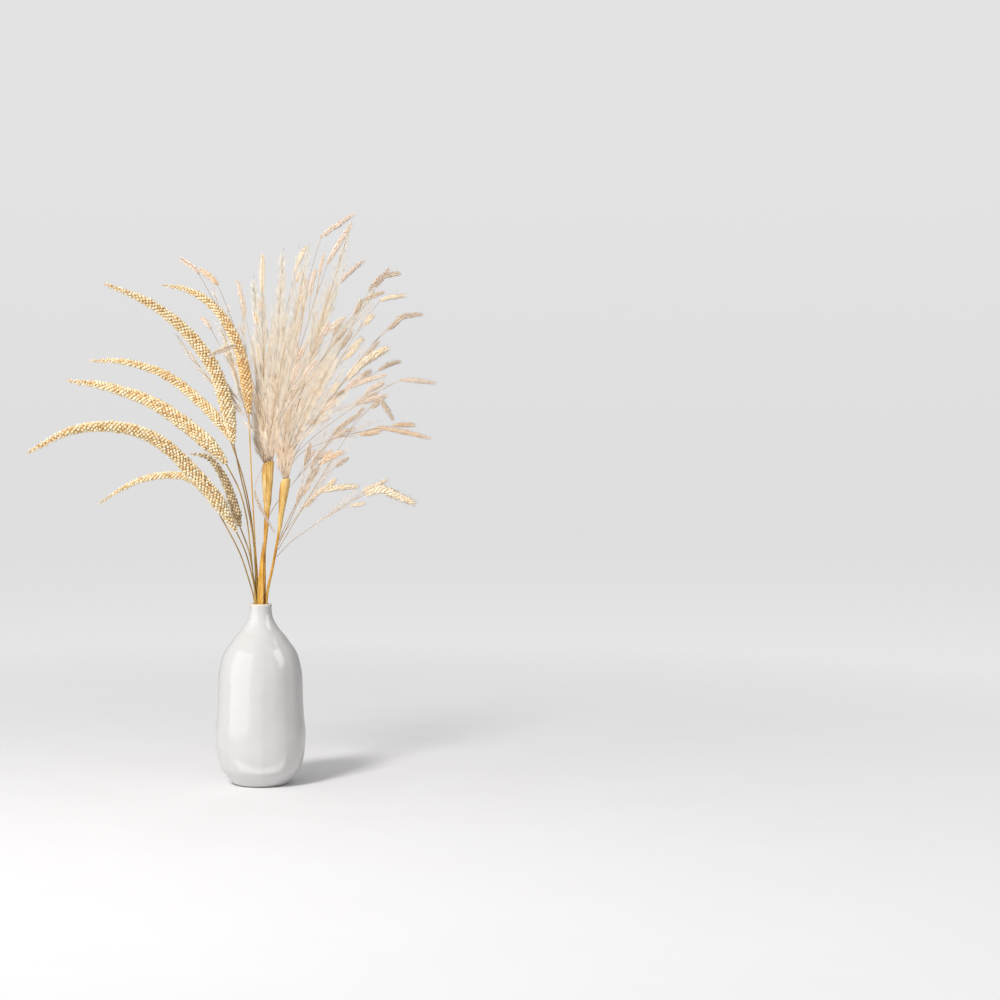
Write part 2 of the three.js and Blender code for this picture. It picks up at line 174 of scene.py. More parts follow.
def axes_along(direction, width, length):
    """Template axes with z along each direction, as stamp() takes them."""
    side, other = square_to(direction)
    return np.stack([side * width[:, None], other * width[:, None], direction * length[:, None]], axis=1)


def hairs(soup, roots, directions, bends, lengths, width, mark=0):
    """Thin curved hairs, three-sided and closed, that taper to a point."""
    n = len(roots)
    side, other = square_to(directions)
    points = np.zeros((n, 7, 3))
    for ring, (s, w) in enumerate([(0.0, 1.0), (0.5, 0.75)]):
        centre = roots + directions * (lengths * s)[:, None] + bends * (lengths * s * s)[:, None]
        for k in range(3):
            angle = 2 * math.pi * k / 3
            reach = side * math.cos(angle) + other * math.sin(angle)
            points[:, ring * 3 + k] = centre + reach * width * w
    points[:, 6] = roots + directions * lengths[:, None] + bends * lengths[:, None]
    triangles = [(0, 2, 1)]
    for k in range(3):
        m = (k + 1) % 3
        triangles += [(k, m, 3 + m), (k, 3 + m, 3 + k), (3 + k, 3 + m, 6)]
    shift = (np.arange(n) * 7)[:, None, None]
    soup.add(points.reshape(-1, 3), (np.array(triangles)[None] + shift).reshape(-1, 3), mark)


# ------------------------------------------------------------------------------------------
# Centrelines of the CAD tubes
# ------------------------------------------------------------------------------------------


class Spine:
    """A smooth line with a radius and a pair of side directions at each place along it."""

    def __init__(self, centres, radii, per_span=12):
        centres, radii = np.asarray(centres, float), np.asarray(radii, float)
        ghost = np.vstack([2 * centres[0] - centres[1], centres, 2 * centres[-1] - centres[-2]])
        t = np.linspace(0, 1, per_span, endpoint=False)[:, None]
        spans, widths = [], []
        for i in range(len(centres) - 1):
            p0, p1, p2, p3 = ghost[i : i + 4]
            spans.append(
                0.5
                * (
                    2 * p1
                    + (p2 - p0) * t
                    + (2 * p0 - 5 * p1 + 4 * p2 - p3) * t**2
                    + (3 * p1 - p0 - 3 * p2 + p3) * t**3
                )
            )
            widths.append(radii[i] + (radii[i + 1] - radii[i]) * t[:, 0])
        self.points = np.vstack([*spans, centres[-1:]])
        self.radii = np.concatenate([*widths, radii[-1:]])
        steps = np.linalg.norm(np.diff(self.points, axis=0), axis=1)
        self.length = float(steps.sum())
        self.at = np.concatenate([[0], np.cumsum(steps)]) / self.length
        self.tangents = unit(np.gradient(self.points, axis=0))
        side = square_to(self.tangents[:1])[0][0]
        sides = []
        for tangent in self.tangents:
            side = unit(side - tangent * np.dot(side, tangent))
            sides.append(side)
        self.sides = np.array(sides)

    def look(self, s):
        """Points, tangents, two side directions and radii at the fractions s of its length."""
        def mix(table):
            return np.stack([np.interp(s, self.at, table[:, k]) for k in range(3)], axis=1)

        tangent = unit(mix(self.tangents))
        side = mix(self.sides)
        side = unit(side - tangent * np.sum(side * tangent, axis=1, keepdims=True))
        return mix(self.points), tangent, side, np.cross(tangent, side), np.interp(s, self.at, self.radii)

    def part(self, start, end, stations=24):
        """The stretch of it between two fractions of its length."""
        points, _, _, _, radii = self.look(np.linspace(start, end, stations))
        return Spine(points, radii, per_span=4)


def merged_mesh(node):
    """A CAD node's corner points and, for each, the set of its neighbours."""
    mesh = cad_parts[node].data
    numbers, points, merged = {}, [], []
    for v in mesh.vertices:
        key = tuple(round(c * 1e6) for c in v.co)
        if key not in numbers:
            numbers[key] = len(points)
            points.append(tuple(v.co))
        merged.append(numbers[key])
    near = [set() for _ in points]
    for edge in mesh.edges:
        a, b = (merged[v] for v in edge.vertices)
        if a != b:
            near[a].add(b)
            near[b].add(a)
    return np.array(points), near


def layers_from(near, start):
    """Points by their distance in edges from a start point."""
    seen, layers = {start}, [[start]]
    while layers[-1]:
        following = {b for a in layers[-1] for b in near[a]} - seen
        seen |= following
        layers.append(sorted(following))
    return layers[:-1]


def spine_of(node, nearest):
    """The spine of a CAD tube, which is made of equal rings of points between two end points.
    It starts at the end for which nearest(point) is least."""
    points, near = merged_mesh(node)
    for start in sorted(range(len(points)), key=lambda i: nearest(points[i])):
        layers = layers_from(near, start)
        sizes = {len(layer) for layer in layers[1:-1]}
        if len(sizes) == 1 and len(layers[-1]) == 1:
            break
    else:
        raise ValueError(f"{node} isn't a tube of rings")
    rings = [points[layer] for layer in layers[1:-1]]
    centres = [ring.mean(0) for ring in rings]
    radii = [np.linalg.norm(ring - ring.mean(0), axis=1).mean() for ring in rings]
    return Spine(centres, radii)


def from_neck(point):
    return float(np.linalg.norm(point - NECK))


def from_floor(point):
    return float(point[2])


def ring_triangles(rows, sides):
    """Faces of a closed tube whose points are rings, row by row, and then its two end points."""
    first, last, top = rows * sides, rows * sides + 1, (rows - 1) * sides
    triangles = []
    for i in range(rows - 1):
        for k in range(sides):
            a, b = i * sides + k, i * sides + (k + 1) % sides
            c, d = a + sides, b + sides
            triangles += [(a, b, d), (a, d, c)]
    for k in range(sides):
        m = (k + 1) % sides
        triangles += [(first, m, k), (last, top + k, top + m)]
    return triangles


def tube(soup, spine, radius_at, sides, stations, mark=0, start=0.0, end=1.0):
    """A closed tube round a spine; radius_at takes an array of fractions 0 to 1."""
    t = np.linspace(0, 1, stations)
    centre, tangent, side, other, _ = spine.look(start + (end - start) * t)
    radius = np.broadcast_to(radius_at(t), t.shape)
    angle = 2 * np.pi * np.arange(sides) / sides
    reach = side[:, None] * np.cos(angle)[None, :, None] + other[:, None] * np.sin(angle)[None, :, None]
    ring = centre[:, None] + reach * radius[:, None, None]
    points = np.vstack([ring.reshape(-1, 3), centre[:1], centre[-1:]])
    soup.add(points, ring_triangles(stations, sides), mark)


def closed_sheet(outer, inner):
    """Points and faces of a thin sheet: two grids of points, joined all round their edge."""
    rows, columns = outer.shape[:2]
    points = np.concatenate([outer.reshape(-1, 3), inner.reshape(-1, 3)])
    triangles, n = [], rows * columns
    for i in range(rows - 1):
        for j in range(columns - 1):
            a, b = i * columns + j, i * columns + j + 1
            c, d = a + columns, b + columns
            triangles += [(a, b, d), (a, d, c), (n + a, n + d, n + b), (n + a, n + c, n + d)]
    edge = list(range(columns)) + [i * columns + columns - 1 for i in range(1, rows)]
    edge += [(rows - 1) * columns + j for j in range(columns - 2, -1, -1)]
    edge += [i * columns for i in range(rows - 2, 0, -1)]
    for k, a in enumerate(edge):
        b = edge[(k + 1) % len(edge)]
        triangles += [(a, n + b, b), (a, n + a, n + b)]
    return points, triangles


# ------------------------------------------------------------------------------------------
# Materials
# ------------------------------------------------------------------------------------------


def colour(red, green, blue):
    """A display colour, 0 to 255, as the linear colour that a shader takes."""
    linear = [
        c / 12.92 if c <= 0.04045 else ((c + 0.055) / 1.055) ** 2.4
        for c in (red / 255, green / 255, blue / 255)
    ]
    return (*linear, 1.0)


class Nodes:
    """A node tree, with short ways to add nodes to it and wire them up."""

    def __init__(self, tree):
        self.tree = tree

    def node(self, kind, **properties):
        made = self.tree.nodes.new(kind)
        for key, value in properties.items():
            setattr(made, key, value)
        return made

    def link(self, output, socket):
        self.tree.links.new(output, socket)

    def feed(self, socket, value):
        """Gives a socket a number or a colour, or wires an output to it."""
        if isinstance(value, (int, float, tuple)):
            socket.default_value = value
        else:
            self.link(value, socket)

    def maths(self, operation, *values, clamp=False):
        made = self.node("ShaderNodeMath", operation=operation, use_clamp=clamp)
        for socket, value in zip(made.inputs, values):
            self.feed(socket, value)
        return made.outputs[0]

    def spread(self, value, low, high, to_low=0, to_high=1):
        """A value's range from low to high, carried over to another range and kept inside it."""
        made = self.node("ShaderNodeMapRange")
        for name, number in zip(("From Min", "From Max", "To Min", "To Max"), (low, high, to_low, to_high)):
            made.inputs[name].default_value = number
        self.link(value, made.inputs["Value"])
        return made.outputs["Result"]

    def ramp(self, value, stops):
        made = self.node("ShaderNodeValToRGB")
        elements = made.color_ramp.elements
        while len(elements) < len(stops):
            elements.new(0.5)
        for element, (position, shade) in zip(elements, stops):
            element.position = position
            element.color = shade
        self.link(value, made.inputs["Fac"])
        return made.outputs["Color"]

    def mix(self, share, a, b, blend="MIX"):
        made = self.node("ShaderNodeMix", data_type="RGBA", blend_type=blend)
        for key, value in (("Factor", share), ("A", a), ("B", b)):
            self.feed(next(s for s in made.inputs if s.name == key and s.enabled), value)
        return next(s for s in made.outputs if s.enabled)


class Shader(Nodes):
    """A material's nodes: a Principled shader and what is wired into it."""

    def __init__(self, name, roughness, **settings):
        self.material = bpy.data.materials.new(name)
        self.material.use_nodes = True
        super().__init__(self.material.node_tree)
        self.principled = self.tree.nodes["Principled BSDF"]
        self.principled.inputs["Roughness"].default_value = roughness
        for socket, value in settings.items():
            self.principled.inputs[socket.replace("_", " ")].default_value = value
        self.place = self.node("ShaderNodeTexCoord").outputs["Object"]

    def stretched(self, x, y, z):
        """The object's own coordinates, multiplied along each axis."""
        mapping = self.node("ShaderNodeMapping")
        mapping.inputs["Scale"].default_value = (x, y, z)
        self.link(self.place, mapping.inputs["Vector"])
        return mapping.outputs["Vector"]

    def noise(self, scale, detail=3.0, roughness=0.55, vector=None):
        made = self.node("ShaderNodeTexNoise")
        made.inputs["Scale"].default_value = scale
        made.inputs["Detail"].default_value = detail
        made.inputs["Roughness"].default_value = roughness
        self.link(vector or self.place, made.inputs["Vector"])
        return made.outputs["Fac"]

    def any_of(self, shades):
        """A shade out of the run of shades, at random for each separate bit of the mesh."""
        island = self.node("ShaderNodeNewGeometry").outputs["Random Per Island"]
        steps = len(shades) - 1
        return self.ramp(island, [(i / steps, shade) for i, shade in enumerate(shades)])

    def height(self):
        """The object's own z, in metres."""
        split = self.node("ShaderNodeSeparateXYZ")
        self.link(self.place, split.inputs[0])
        return split.outputs["Z"]

    def paint(self, value):
        self.link(value, self.principled.inputs["Base Color"])

    def rough(self, value, low, high):
        self.link(self.spread(value, 0.3, 0.7, low, high), self.principled.inputs["Roughness"])

    def bump(self, value, strength, distance):
        made = self.node("ShaderNodeBump")
        made.inputs["Strength"].default_value = strength
        made.inputs["Distance"].default_value = distance
        self.link(value, made.inputs["Height"])
        self.link(made.outputs["Normal"], self.principled.inputs["Normal"])


def glaze_material():
    """Glossy off-white glaze: faint clouding, a few mineral specks, shallow dimples, a painted warm
    bounce of light along the top of the rim, and bare clay at the foot."""
    s = Shader("glaze", 0.16, Coat_Weight=0.35, Coat_Roughness=0.08, IOR=1.52)
    clouds = [(0.3, colour(203, 202, 200)), (0.55, colour(210, 209, 208)), (0.75, colour(206, 206, 206))]
    body = s.ramp(s.noise(14, 4, 0.6), clouds)
    specks = s.spread(s.noise(900, 2, 0.5), 0.76, 0.82, 0, 0.5)
    speckled = s.mix(specks, body, colour(196, 186, 172))
    # painted light: a warm bounce of light, painted as a cream band along the top of the rim
    rim_bounce = s.spread(s.height(), RIM - 3.5 * MM, RIM - 0.8 * MM, 0, 0.55)
    with_rim_bounce = s.mix(rim_bounce, speckled, colour(238, 222, 190))
    uneven_height = s.maths("MULTIPLY_ADD", s.noise(60, 2, 0.5), 2.2 * MM, s.height())
    bare = s.spread(uneven_height, 2.0 * MM, 2.6 * MM, 1, 0)
    s.paint(s.mix(bare, with_rim_bounce, colour(206, 196, 182)))
    gloss = s.spread(s.noise(45, 3, 0.5), 0.3, 0.7, 0.13, 0.21)
    matte = s.maths("MAXIMUM", gloss, s.spread(bare, 0, 1, 0, 0.8))
    s.link(matte, s.principled.inputs["Roughness"])
    s.bump(s.noise(55, 3, 0.45), 0.12, 2 * MM)
    return s.material


def grain_material(name, shades, low_shade=None, low=0.0, high=1.0):
    """Dry seed grains, each its own shade; low_shade tints the stretch below a height."""
    s = Shader(name, 0.6, Specular_IOR_Level=0.35)
    husk = s.ramp(s.noise(900, 2, 0.6), [(0.35, colour(218, 200, 170)), (0.6, colour(255, 255, 255))])
    shade = s.mix(0.4, s.any_of(shades), husk, "MULTIPLY")
    if low_shade:
        patch = s.spread(s.noise(70, 2), 0.35, 0.65, -0.25, 0.25)
        fade = s.maths("ADD", s.spread(s.height(), high, low), patch, clamp=True)
        shade = s.mix(fade, shade, s.mix(0.9, shade, low_shade, "MULTIPLY"))
    s.paint(shade)
    s.rough(s.noise(500, 2), 0.5, 0.7)
    s.bump(s.noise(1600, 2, 0.6), 0.35, 0.4 * MM)
    return s.material


def chaff_material(name, dark, middle, light):
    """Papery husk between and under the grains; its brown is also painted shade in the gaps between them."""
    s = Shader(name, 0.75, Specular_IOR_Level=0.25)
    s.paint(s.ramp(s.noise(260, 4, 0.65), [(0.3, dark), (0.5, middle), (0.7, light)]))
    s.rough(s.noise(400, 2), 0.65, 0.85)
    s.bump(s.noise(700, 3, 0.6), 0.5, 0.5 * MM)
    return s.material


def hair_material(name, shades, tint=None):
    """Silky dry hairs: every hair its own shade, in slow patches; tint warms the low ones."""
    s = Shader(name, 0.55, Specular_IOR_Level=0.4, Sheen_Weight=0.5, Sheen_Roughness=0.4)
    patch = s.ramp(s.noise(30, 3), [(0.35, colour(250, 238, 224)), (0.6, colour(255, 255, 255))])
    shade = s.mix(0.5, s.any_of(shades), patch, "MULTIPLY")
    if tint:
        low_down = s.spread(s.height(), 0.68, 0.50)
        shade = s.mix(low_down, shade, s.mix(1.0, shade, tint, "MULTIPLY"))
    s.paint(shade)
    s.rough(s.noise(200, 2), 0.47, 0.65)
    s.bump(s.noise(2500, 1), 0.2, 0.2 * MM)
    return s.material


def straw_material(name, dark, middle, light, stripe=1100):
    """Dry straw: fine stripes along the stem, slow changes of colour, a soft shine."""
    s = Shader(name, 0.45, Specular_IOR_Level=0.45, Coat_Weight=0.08, Coat_Roughness=0.35)
    fibres = s.noise(1, 3, 0.6, s.stretched(stripe, stripe, 18))
    slow = s.noise(1, 3, 0.5, s.stretched(60, 60, 22))
    base = s.ramp(slow, [(0.32, dark), (0.5, middle), (0.68, light)])
    line = s.ramp(fibres, [(0.35, colour(190, 165, 130)), (0.6, colour(255, 255, 255))])
    s.paint(s.mix(0.55, base, line, "MULTIPLY"))
    s.rough(slow, 0.37, 0.60)
    s.bump(fibres, 0.4, 0.4 * MM)
    return s.material


CREAM_GRAINS = [
    colour(226, 190, 138), colour(244, 220, 172), colour(251, 234, 194), colour(253, 241, 210),
    colour(255, 246, 222),
]
GREY_GRAINS = [
    colour(172, 152, 122), colour(200, 180, 146), colour(222, 204, 168), colour(240, 224, 188),
    colour(196, 178, 152),
]

glaze = glaze_material()
grain_cream = grain_material("grain_cream", CREAM_GRAINS)
grain_brown = grain_material("grain_brown", CREAM_GRAINS, colour(252, 237, 216), low=0.60, high=0.71)
grain_grey = grain_material("grain_grey", GREY_GRAINS)
# the husk under the grains: a real part, whose brown is also painted shade in the gaps between grains
husk_and_gap_shade = chaff_material(
    "husk_and_gap_shade", colour(192, 150, 98), colour(220, 182, 128), colour(236, 206, 156)
)
bristle_cream = hair_material(
    "bristle_cream", [colour(226, 200, 150), colour(246, 230, 194), colour(255, 247, 226)]
)
PLUME_TINT = colour(255, 246, 236)
plume_white = hair_material(
    "plume_white",
    [colour(251, 242, 226), colour(255, 250, 238), colour(255, 254, 246), colour(255, 255, 252)],
    tint=PLUME_TINT,
)
plume_cream = hair_material(
    "plume_cream",
    [colour(246, 230, 208), colour(253, 243, 226), colour(255, 250, 240), colour(255, 254, 248)],
    tint=PLUME_TINT,
)
plume_gold = hair_material(
    "plume_gold",
    [colour(236, 208, 166), colour(246, 226, 192), colour(252, 238, 214), colour(255, 247, 230)],
    tint=PLUME_TINT,
)
seed_pink = grain_material(
    "seed_pink", [colour(228, 206, 188), colour(243, 226, 210), colour(251, 239, 226), colour(234, 212, 194)]
)
seed_cream = grain_material(
    "seed_cream", [colour(242, 222, 190), colour(253, 238, 210), colour(255, 248, 230), colour(248, 230, 200)]
)
seed_orange = grain_material(
    "seed_orange",
    [colour(230, 200, 166), colour(243, 219, 190), colour(251, 232, 207), colour(226, 194, 160)],
)
seed_grey = grain_material(
    "seed_grey", [colour(196, 178, 158), colour(214, 196, 176), colour(228, 212, 192), colour(204, 184, 164)]
)
bristle_pink = hair_material(
    "bristle_pink", [colour(246, 230, 216), colour(253, 242, 232), colour(255, 252, 247)]
)
straw_gold = straw_material(
    "straw_gold", colour(190, 132, 40), colour(222, 170, 70), colour(240, 204, 116)
)
straw_olive = straw_material(
    "straw_olive", colour(120, 94, 44), colour(166, 134, 66), colour(206, 172, 96), stripe=1500
)
straw_thin = straw_material(
    "straw_thin", colour(150, 126, 96), colour(190, 160, 122), colour(220, 196, 158), stripe=1800
)
straw_sheath = straw_material(
    "straw_sheath", colour(196, 150, 66), colour(236, 198, 120), colour(250, 228, 176), stripe=900
)
leaf_gold = straw_material(
    "leaf_gold", colour(196, 136, 34), colour(224, 168, 62), colour(240, 198, 104), stripe=800
)


def finish_piece(piece, slot, *nodes):
    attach(piece, "root")
    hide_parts(*nodes)


# ------------------------------------------------------------------------------------------
# Vase
# ------------------------------------------------------------------------------------------


def vase_outline():
    """The CAD vase's outline, as (radius, height), from under its foot up and down its inside."""
    points, near = merged_mesh("vase")
    cut = {i for i, p in enumerate(points) if abs(p[0]) < 1e-6 and p[1] < 1e-6}
    here = min(cut, key=lambda i: (abs(points[i][1]), points[i][2]))
    walk, left = [here], cut - {here}
    while True:
        ahead = [b for b in near[walk[-1]] if b in left]
        if not ahead:
            return np.array([(-points[i][1], points[i][2]) for i in walk])
        step = min(ahead, key=lambda b: np.linalg.norm(points[b] - points[walk[-1]]))
        walk.append(step)
        left.remove(step)


def make_vase():
    outline = vase_outline()
    curve = np.column_stack([outline[1:-1], np.zeros(len(outline) - 2)])
    body = Spine(curve, np.zeros(len(curve)), per_span=3)
    profile = np.vstack([outline[:1], body.points[:, :2], outline[-1:]])
    segments = 132
    angle = 2 * np.pi * np.arange(segments) / segments
    inner = np.arange(len(profile)) > np.argmax(profile[:, 1])
    radius = profile[:, 0][:, None]
    height = profile[:, 1][:, None]
    # slow swells on the outside of the body, as on a vase made by hand, and a fuller left side
    wave = 0.34 * np.sin(3 * angle + 21 * height) + 0.26 * np.sin(5 * angle - 34 * height + 1.1)
    wave += 0.3 * np.sin(11 * angle + 5 * height + 0.4) + 0.2 * np.sin(2 * angle + 47 * height + 2.0)
    wave += 0.1 * np.sin(23 * angle - 9 * height)
    wave += 1.1 - 0.9 * np.cos(angle)
    on_body = np.clip((radius - 30 * MM) / (30 * MM), 0, 1) * ~inner[:, None]
    ringed = radius + on_body * wave * 0.9 * MM
    points = np.stack(
        [ringed * np.cos(angle), ringed * np.sin(angle), np.broadcast_to(height, ringed.shape)], axis=2
    )
    rings = points[1:-1]
    soup = Soup()
    soup.add(
        np.vstack([rings.reshape(-1, 3), points[0, :1], points[-1, :1]]),
        ring_triangles(len(rings), segments),
    )
    piece = soup.piece("bottle_vase", [glaze])
    finish_piece(piece, "glaze", "vase")


make_vase()


# ------------------------------------------------------------------------------------------
# Beaded ears
# ------------------------------------------------------------------------------------------

def spots_round(spine, pitch, inset):
    """Evenly packed places round a spine, in a spiral: fractions of its length and angles."""
    grid = np.linspace(0, 1, 600)
    radius = np.maximum(spine.look(grid)[4] - inset, 0.4 * MM)
    per_step = 2 * np.pi * radius * spine.length / pitch**2
    total = np.concatenate([[0], np.cumsum((per_step[1:] + per_step[:-1]) / 2 * np.diff(grid))])
    count = int(total[-1])
    s = np.interp(np.arange(count) + 0.5, total, grid)
    return s, np.arange(count) * GOLDEN_ANGLE


# the numbers that an ear's materials have in its piece
GRAIN, HUSK_AND_SHADE, BRISTLE = 0, 1, 2


def make_ear(name, grains, slot, tuft):
    """A core of husk packed all over with round grains, about half of them with a fine bristle."""
    node = "wheat_ear_" + name
    spine = spine_of(node, from_neck)
    bead = 1.5 * MM + 0.085 * spine.radii.max()
    soup = Soup()
    # the core of brown husk fills the gaps between the grains; its colour is partly painted shade there
    tube(soup, spine, lambda t: np.maximum(spine.look(t)[4] - bead, 0.5 * MM), 10, 60, HUSK_AND_SHADE)
    s, angle = spots_round(spine, pitch=1.86 * bead, inset=0.6 * bead)
    angle = angle + rng.normal(0, 0.05, len(s))
    s = np.clip(s + rng.normal(0, 0.12 * bead / spine.length, len(s)), 0, 1)
    centre, tangent, side, other, radius = spine.look(s)
    out = side * np.cos(angle)[:, None] + other * np.sin(angle)[:, None]
    size = bead * rng.uniform(0.78, 1.15, len(s)) * np.interp(s, [0, 0.06, 0.8, 1], [0.8, 1, 0.95, 0.6])
    lift = np.maximum(radius - 0.6 * size, 0.1 * MM) * rng.uniform(0.9, 1.12, len(s))
    roots = centre + out * lift[:, None]
    lean = unit(out + tangent * rng.uniform(0.3, 0.7, len(s))[:, None])
    stamp(soup, BEAD, roots, axes_along(lean, size, size * rng.uniform(1.0, 1.25, len(s))), GRAIN)
    picked = rng.random(len(s)) < 0.55
    spikes = unit(out + tangent * rng.uniform(0.5, 1.4, len(s))[:, None] + rng.normal(0, 0.15, (len(s), 3)))
    length = size + rng.uniform(0.8, 2.4, len(s)) * MM
    axes = axes_along(spikes, np.full(len(s), 0.16 * MM), length)
    stamp(soup, SPIKE, roots[picked], axes[picked], BRISTLE)
    if tuft:
        seed_head(soup, spine.part(0.0, 0.085), tuft, seeds_per_mm=2.6, seed_mark=GRAIN)
    piece = soup.piece("grains_" + name, [grains, husk_and_gap_shade, bristle_cream])
    finish_piece(piece, slot, node)


EARS = {
    "low_thin": (grain_cream, "ear_cream"),
    "low_long": (grain_cream, "ear_cream"),
    "short_grey": (grain_grey, "ear_grey"),
    "middle_low": (grain_cream, "ear_cream"),
    "high_long": (grain_cream, "ear_cream"),
    "middle_high": (grain_cream, "ear_cream"),
    "top_brown": (grain_brown, "ear_brown"),
}


# ------------------------------------------------------------------------------------------
# Culms, sheaths and the leaf blade
# ------------------------------------------------------------------------------------------


def culm_radius(spine, joints):
    """The culm's radius along it, a little swollen at its joints and thinner to the top."""
    def radius(t):
        swell = sum(0.16 * np.exp(-(((t - j) * spine.length / (2.2 * MM)) ** 2)) for j in joints)
        return spine.look(t)[4] * (0.97 - 0.1 * t + swell)

    return radius


def make_culm(node, piece_name, material, slot, joints, sides=12):
    spine = spine_of(node, from_floor)
    soup = Soup()
    tube(soup, spine, culm_radius(spine, joints), sides, stations=150)
    finish_piece(soup.piece(piece_name, [material]), slot, node)
    return spine


for ear_name in EARS:
    straw = straw_gold if ear_name == "top_brown" else straw_olive
    make_culm("wheat_culm_" + ear_name, "straw_" + ear_name, straw, "ear_culm", (0.3, 0.72))

culm_spines = {
    name: make_culm("pampas_culm_" + name, "reed_" + name, straw_gold, "pampas_culm", (0.35, 0.66), 18)
    for name in ("middle", "right", "back")
}


def make_sheath(name):
    """A dry leaf wrapped a little more than once round the top of the culm, with a pointed tip."""
    node = "pampas_sheath_" + name
    points, _ = merged_mesh(node)
    culm = culm_spines[name]
    end_point = points[points[:, 2].argmax()]
    # the sheath runs on past the culm's end, so its line is the culm's, carried on straight
    tip, tangent = culm.points[-1], culm.tangents[-1]
    reach = float(np.dot(end_point - tip, tangent))
    stations = np.vstack([culm.points[::12], tip + tangent * reach])
    line = Spine(stations, np.zeros(len(stations)))
    along = np.array([np.argmin(np.linalg.norm(line.points - p, axis=1)) for p in points])
    away = np.linalg.norm(points - line.points[along], axis=1)
    s = line.at[along]
    start, end = s.min(), s.max()
    columns, rows, turns = 34, 46, 1.16
    t = np.linspace(0, 1, rows)
    # the CAD sheath's radius from its foot to its tip, smoothed
    outer = np.array([away[np.abs(s - (start + (end - start) * x)) < 0.04].max() for x in t])
    outer = np.convolve(np.pad(outer, 3, mode="edge"), np.ones(7) / 7, mode="valid")
    skins = []
    for thickness in (0.0, 0.35 * MM):
        grid = np.zeros((rows, columns, 3))
        for j in range(columns):
            u = j / (columns - 1)
            from_middle = abs(2 * u - 1)
            turn = 2 * np.pi * turns * (u - 0.5) + 0.9
            spiral = outer - 0.75 * MM * u - thickness
            # the foot hugs the culm, and the top runs to a point over the leaf's middle
            hug = 0.5 + 0.5 * np.clip((t - 0.16 * from_middle) / 0.12, 0, 1)
            radius = spiral * np.minimum(1, 0.35 + hug * 0.65)
            top = 1.06 - 0.3 * from_middle**1.3 - 0.02 * math.sin(19 * u)
            place = np.clip(start + (end - start) * (0.1 * from_middle * (1 - t) + t * top), 0, 1)
            centre, _, side, other, _ = line.look(place)
            grid[:, j] = centre + (side * math.cos(turn) + other * math.sin(turn)) * radius[:, None]
        skins.append(grid)
    soup = Soup()
    soup.add(*closed_sheet(*skins))
    finish_piece(soup.piece("wrap_" + name, [straw_sheath]), "sheath", node)


for culm_name in culm_spines:
    make_sheath(culm_name)


def make_blade():
    """A flat leaf with a fold down its middle, raised veins and a slow twist to its point."""
    spine = spine_of("leaf_blade", from_floor)
    rows, columns = 90, 15
    t = np.linspace(0, 1, rows)
    centre, tangent, _, _, _ = spine.look(t)
    across = unit(np.cross([[0.0, 1.0, 0.0]], tangent))
    forward = np.cross(across, tangent)
    half = 4.6 * MM * np.clip(1 - 0.97 * t**9, 0.02, 1)
    twist = 0.5 * np.clip((t - 0.78) / 0.22, 0, 1) ** 1.5
    skins = []
    for face in (1, -1):
        grid = np.zeros((rows, columns, 3))
        for j in range(columns):
            u = 2 * j / (columns - 1) - 1
            fold = 0.55 * MM * abs(u) + 0.1 * MM * math.cos(u * 14)
            shift = across * (half * u)[:, None] * np.cos(twist)[:, None]
            depth = (fold + face * 0.16 * MM * (1 - 0.6 * u * u)) + np.sin(twist) * half * u
            grid[:, j] = centre + shift + forward * np.broadcast_to(depth, t.shape)[:, None]
        skins.append(grid)
    soup = Soup()
    soup.add(*closed_sheet(*skins))
    finish_piece(soup.piece("dry_blade", [leaf_gold]), "leaf", "leaf_blade")


make_blade()


# ------------------------------------------------------------------------------------------
# Foxtail heads and plumes
# ------------------------------------------------------------------------------------------


def head_start(spine):
    """Fraction of a branch's length at which its head begins to swell."""
    stalk = spine.radii[0]
    wide = np.nonzero(spine.radii > 1.15 * stalk)[0]
    return float(spine.at[wide[0]])


def seed_head(soup, spine, thick, seeds_per_mm, seed_mark):
    """Seeds in a spiral round a thin axis, with fine bristles that lean to the tip."""
    count = max(int(spine.length / MM * seeds_per_mm), 8)
    s = (np.arange(count) + 0.5) / count
    angle = np.arange(count) * GOLDEN_ANGLE + rng.normal(0, 0.25, count)
    centre, tangent, side, other, _ = spine.look(s)
    out = side * np.cos(angle)[:, None] + other * np.sin(angle)[:, None]
    full = 0.35 + 0.65 * np.sin(np.pi * np.clip(s, 0.02, 1) ** 0.8) ** 0.7
    lean = unit(out * 0.75 + tangent * rng.uniform(0.9, 1.4, count)[:, None])
    length = thick * full * rng.uniform(0.85, 1.15, count)
    stamp(soup, SEED, centre + out * (0.12 * thick), axes_along(lean, length * 0.48, length), seed_mark)
    bristles_each = 5
    many = count * bristles_each
    s = np.clip(np.repeat(s, bristles_each) + rng.normal(0, 0.02, many), 0, 1)
    angle = rng.uniform(0, 2 * np.pi, many)
    centre, tangent, side, other, _ = spine.look(s)
    out = side * np.cos(angle)[:, None] + other * np.sin(angle)[:, None]
    full = 0.45 + 0.55 * np.sin(np.pi * np.clip(s, 0.02, 1) ** 0.8) ** 0.7
    lean = unit(out * 0.62 + tangent * rng.uniform(0.7, 1.7, many)[:, None])
    length = thick * full * rng.uniform(1.0, 2.0, many)
    axes = axes_along(lean, np.full(many, 0.10 * MM), length)
    stamp(soup, SPIKE, centre + out * (0.2 * thick), axes, BRISTLE)


# the brown ear, all but its tip: what would cover it from the front is left out
BROWN_EAR = spine_of("wheat_ear_top_brown", from_neck).part(0.0, 0.94, stations=12)


def hides_brown_ear(points):
    """True for each point in front of the brown ear and, seen from there, within 9 mm of its line."""
    gaps = np.linalg.norm(points[:, None, [0, 2]] - BROWN_EAR.points[None, :, [0, 2]], axis=2)
    nearest = gaps.argmin(axis=1)
    return (gaps.min(axis=1) < 9 * MM) & (points[:, 1] < BROWN_EAR.points[nearest, 1])


